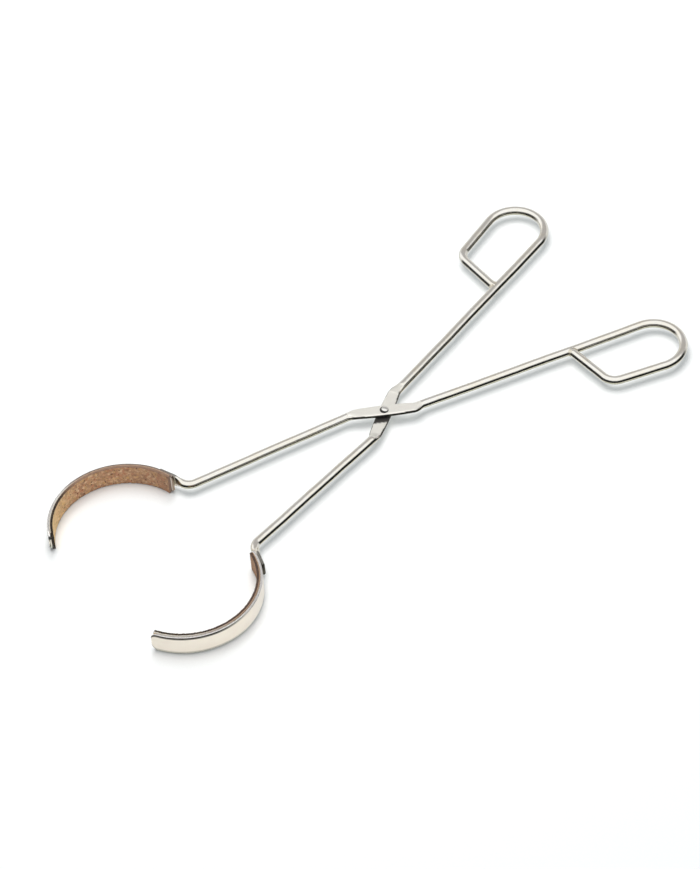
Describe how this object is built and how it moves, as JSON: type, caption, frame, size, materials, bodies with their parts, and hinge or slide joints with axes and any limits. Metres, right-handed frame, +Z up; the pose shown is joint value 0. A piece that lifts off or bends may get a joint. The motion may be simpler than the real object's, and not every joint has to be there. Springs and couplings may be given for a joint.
{
  "type": "beaker tongs",
  "caption": "Scissor tongs of bent round wire with closed finger loops and wide curved jaws lined with cork, for lifting hot laboratory beakers, flasks and crucibles.",
  "frame": {"origin": "middle of the overall box as posed, on the tongs' centre line and at the plane where the two pressed flats meet; the rivet axis is 13.69 mm behind it", "axes": "+X from the finger loops towards the jaws along the tongs' centre line, +Z up along the rivet towards the upper arm, +Y across, towards the lower arm's jaw"},
  "size_m": [0.2956, 0.1314, 0.011],
  "materials": {
    "plated_wire": "bright nickel plating, satin on the pressed flats",
    "plated_strip": "bright nickel plating, faintly brushed",
    "cork": "raw granulated cork",
    "braze": "plated filler metal, dull",
    "rivet": "bright nickel plating"
  },
  "bodies": {
    "lower_half": {"lower_arm": "plated_wire", "lower_jaw_strip": "plated_strip", "lower_cork_lining": "cork", "lower_jaw_braze": "braze", "lower_handle_weld": "braze", "pivot_rivet": "rivet"},
    "upper_half": {"upper_arm": "plated_wire", "upper_jaw_strip": "plated_strip", "upper_cork_lining": "cork", "upper_jaw_braze": "braze", "upper_handle_weld": "braze"}
  },
  "joints": [
    {"name": "scissor_pivot", "type": "hinge", "parent": "lower_half", "child": "upper_half", "pos_m": [-0.01369, 0, 0], "axis": [0, 0, 1], "range_deg": [-90, 26]}
  ]
}
